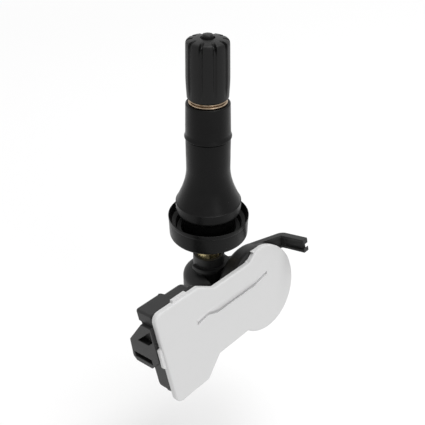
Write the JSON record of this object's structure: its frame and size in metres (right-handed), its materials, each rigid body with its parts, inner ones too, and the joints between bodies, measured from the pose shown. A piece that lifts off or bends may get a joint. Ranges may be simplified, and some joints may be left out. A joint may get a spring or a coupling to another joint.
{
  "type": "tyre pressure sensor",
  "caption": "Tyre pressure sensor on a snap-in rubber valve: screw cap, brass stem, cupped rim flange, and a leaning black housing with a white lid, support foot and bent arm.",
  "frame": {"origin": "on the valve's axis, in the plane of the flange lip that seats on the inside of the wheel rim", "axes": "+Z along the valve towards the cap, +X along the sensor housing towards its coin cell and bent arm; the white lid faces -Y and leans back towards +Z"},
  "size_m": [0.048, 0.0282, 0.0788],
  "materials": {
    "cap_plastic": "satin black moulded plastic",
    "valve_rubber": "smooth black rubber",
    "seal_rubber": "soft matt black rubber",
    "stem_brass": "turned brass",
    "core_brass": "plated brass",
    "spring_steel": "drawn spring steel",
    "screw_steel": "zinc-plated steel",
    "housing_plastic": "matt black moulded plastic",
    "lid_plastic": "matt white moulded plastic",
    "board_laminate": "green solder mask on glass-fibre laminate",
    "cell_steel": "nickel-plated steel can",
    "tab_steel": "nickel strip",
    "chip_resin": "black moulded resin",
    "crystal_can": "metal can",
    "capacitor_ceramic": "fired ceramic",
    "ferrite": "sintered ferrite",
    "copper_wire": "enamelled copper wire",
    "filter_cloth": "white vent membrane"
  },
  "bodies": {
    "sensor": {"valve_stem": "stem_brass", "valve_body": "valve_rubber", "core_barrel": "core_brass", "core_barrel_gasket": "seal_rubber", "core_spring": "spring_steel", "retaining_screw": "screw_steel", "sensor_housing": "housing_plastic", "cover_lid": "lid_plastic", "circuit_board": "board_laminate", "coin_cell": "cell_steel", "cell_plus_tab": "tab_steel", "cell_minus_tab": "tab_steel", "sensor_chip": "chip_resin", "port_gasket": "seal_rubber", "port_filter": "filter_cloth", "control_chip": "chip_resin", "crystal": "crystal_can", "chip_capacitors": "capacitor_ceramic", "coil_core": "ferrite", "coil_winding": "copper_wire", "antenna": "copper_wire"},
    "cap_disc": {"cap_seal": "seal_rubber"},
    "cap": {"valve_cap": "cap_plastic"},
    "pin": {"core_pin": "core_brass", "core_seat_seal": "seal_rubber"}
  },
  "joints": [
    {"name": "cap_lift", "type": "slide", "parent": "sensor", "child": "cap_disc", "axis": [0, 0, 1], "range_m": [0, 0.01334]},
    {"name": "cap_turn", "type": "hinge", "parent": "cap_disc", "child": "cap", "pos_m": [0, 0, 0.031], "axis": [0, 0, 1], "range_deg": [0, 6049]},
    {"name": "pin_press", "type": "slide", "parent": "sensor", "child": "pin", "axis": [0, 0, 1], "range_m": [-0.0012, 0], "stiffness_N_per_m": 2000, "springref_m": 0.0005, "deforming": ["core_spring"]}
  ],
  "couplings": [
    {"joint": "cap_turn", "follows": "cap_lift", "rad_per_m": 7913.3}
  ]
}
